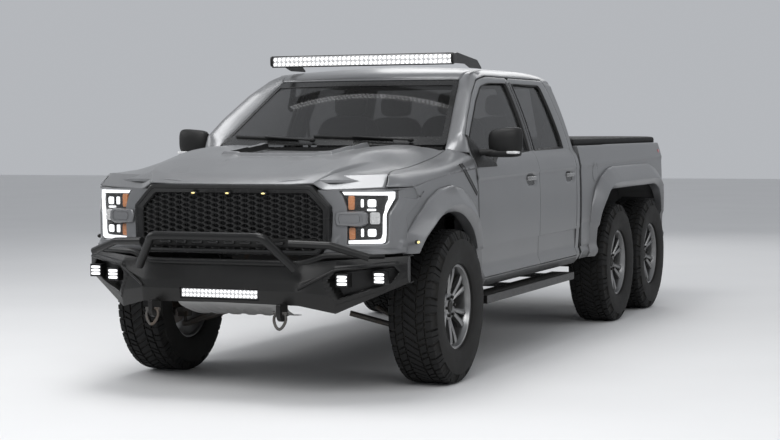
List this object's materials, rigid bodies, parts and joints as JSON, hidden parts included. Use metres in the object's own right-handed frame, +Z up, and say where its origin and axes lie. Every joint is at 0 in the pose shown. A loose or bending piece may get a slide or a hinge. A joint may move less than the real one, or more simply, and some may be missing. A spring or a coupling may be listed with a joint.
{
  "type": "six-wheeled crew cab pickup truck",
  "caption": "Crew cab pickup truck with a tandem rear axle, steel winch-style front bumper with bull bar, roof light bar and a hinged hard cover over the load bed.",
  "frame": {"origin": "on the ground, under the middle of the truck's box", "axes": "+Z up, the nose points along -Y, the truck's left side is +X"},
  "size_m": [2.49, 6.78, 2.0619],
  "materials": {
    "body_paint": "satin metallic grey",
    "frame_paint": "satin black",
    "bumper_coat": "textured matt black",
    "black_plastic": "matt black",
    "gloss_black": "gloss black",
    "tonneau_skin": "grained matt black",
    "tyre": "matt black",
    "rim": "gunmetal satin",
    "lamp_clear": "clear lens over white lamps",
    "lamp_white": "lit white",
    "lamp_red": "red lens",
    "glass": "tinted",
    "seat_cloth": "dark cloth",
    "cabin_plastic": "grained dark grey",
    "carpet": "dark carpet",
    "cast_steel": "dull dark grey",
    "spring_steel": "dull dark",
    "exhaust_steel": "dull"
  },
  "bodies": {
    "root": {"bull_bar": "bumper_coat", "cab_floor": "carpet", "cab_shell": "body_paint", "cargo_box": "body_paint", "cowl": "black_plastic", "crossmembers": "frame_paint", "dashboard": "cabin_plastic", "engine_block": "cast_steel", "exhaust": "exhaust_steel", "fender_flares": "body_paint", "frame_rails": "frame_paint", "front_bumper": "bumper_coat", "front_fenders": "body_paint", "front_panel": "body_paint", "front_seats": "seat_cloth", "fuel_tank": "black_plastic", "grille": "gloss_black", "headlights": "lamp_clear", "leaf_springs": "spring_steel", "led_lights": "lamp_white", "light_brackets": "gloss_black", "rear_axles": "cast_steel", "rear_bumper": "bumper_coat", "rear_seat": "seat_cloth", "rear_window": "glass", "running_boards": "bumper_coat", "suspension_arms": "cast_steel", "tail_lights": "lamp_red", "wheel_liners": "black_plastic", "windshield": "glass"},
    "hood": {"hood": "body_paint"},
    "tailgate": {"tailgate": "body_paint"},
    "tonneau": {"tonneau_cover": "tonneau_skin"},
    "steering_wheel": {"steering_wheel": "cabin_plastic"},
    "front_left_door": {"door_front_left": "body_paint", "glass_front_left": "glass", "mirror_left": "black_plastic"},
    "rear_left_door": {"door_rear_left": "body_paint", "glass_rear_left": "glass"},
    "left_knuckle": {"knuckle_left": "cast_steel"},
    "front_left_wheel": {"tyre_front_left": "tyre", "rim_front_left": "rim"},
    "middle_left_wheel": {"tyre_middle_left": "tyre", "rim_middle_left": "rim"},
    "rear_left_wheel": {"tyre_rear_left": "tyre", "rim_rear_left": "rim"},
    "front_right_door": {"door_front_right": "body_paint", "glass_front_right": "glass", "mirror_right": "black_plastic"},
    "rear_right_door": {"door_rear_right": "body_paint", "glass_rear_right": "glass"},
    "right_knuckle": {"knuckle_right": "cast_steel"},
    "front_right_wheel": {"tyre_front_right": "tyre", "rim_front_right": "rim"},
    "middle_right_wheel": {"tyre_middle_right": "tyre", "rim_middle_right": "rim"},
    "rear_right_wheel": {"tyre_rear_right": "tyre", "rim_rear_right": "rim"}
  },
  "joints": [
    {"name": "hood_hinge", "type": "hinge", "parent": "root", "child": "hood", "pos_m": [0, -1.714, 1.432], "axis": [-1, 0, 0], "range_deg": [0, 50]},
    {"name": "tailgate_hinge", "type": "hinge", "parent": "root", "child": "tailgate", "pos_m": [0, 3.266, 0.846], "axis": [-1, 0, 0], "range_deg": [0, 90]},
    {"name": "tonneau_hinge", "type": "hinge", "parent": "root", "child": "tonneau", "pos_m": [0, 0.756, 1.416], "axis": [1, 0, 0], "range_deg": [0, 35]},
    {"name": "steering_wheel_turn", "type": "hinge", "parent": "root", "child": "steering_wheel", "pos_m": [0.4, -1.16, 1.23], "axis": [0, 0.9207, 0.3903], "range_deg": [-480, 480]},
    {"name": "front_left_door_hinge", "type": "hinge", "parent": "root", "child": "front_left_door", "pos_m": [1.008, -1.583, 1], "axis": [0, 0, -1], "range_deg": [0, 65]},
    {"name": "rear_left_door_hinge", "type": "hinge", "parent": "root", "child": "rear_left_door", "pos_m": [1.008, -0.2945, 1], "axis": [0, 0, -1], "range_deg": [0, 65]},
    {"name": "left_steering", "type": "hinge", "parent": "root", "child": "left_knuckle", "pos_m": [0.83, -2.11, 0.47], "axis": [0, 0, 1], "range_deg": [-30, 30]},
    {"name": "front_left_wheel_spin", "type": "hinge", "parent": "left_knuckle", "child": "front_left_wheel", "pos_m": [0.921, -2.11, 0.47], "axis": [1, 0, 0], "continuous": true},
    {"name": "middle_left_wheel_spin", "type": "hinge", "parent": "root", "child": "middle_left_wheel", "pos_m": [0.921, 1.64, 0.47], "axis": [1, 0, 0], "continuous": true},
    {"name": "rear_left_wheel_spin", "type": "hinge", "parent": "root", "child": "rear_left_wheel", "pos_m": [0.921, 2.7, 0.47], "axis": [1, 0, 0], "continuous": true},
    {"name": "front_right_door_hinge", "type": "hinge", "parent": "root", "child": "front_right_door", "pos_m": [-1.008, -1.583, 1], "axis": [0, 0, 1], "range_deg": [0, 65]},
    {"name": "rear_right_door_hinge", "type": "hinge", "parent": "root", "child": "rear_right_door", "pos_m": [-1.008, -0.2945, 1], "axis": [0, 0, 1], "range_deg": [0, 65]},
    {"name": "right_steering", "type": "hinge", "parent": "root", "child": "right_knuckle", "pos_m": [-0.83, -2.11, 0.47], "axis": [0, 0, 1], "range_deg": [-30, 30]},
    {"name": "front_right_wheel_spin", "type": "hinge", "parent": "right_knuckle", "child": "front_right_wheel", "pos_m": [-0.921, -2.11, 0.47], "axis": [1, 0, 0], "continuous": true},
    {"name": "middle_right_wheel_spin", "type": "hinge", "parent": "root", "child": "middle_right_wheel", "pos_m": [-0.921, 1.64, 0.47], "axis": [1, 0, 0], "continuous": true},
    {"name": "rear_right_wheel_spin", "type": "hinge", "parent": "root", "child": "rear_right_wheel", "pos_m": [-0.921, 2.7, 0.47], "axis": [1, 0, 0], "continuous": true}
  ],
  "couplings": [
    {"joint": "right_steering", "follows": "left_steering", "ratio": 1},
    {"joint": "steering_wheel_turn", "follows": "left_steering", "ratio": 16}
  ]
}
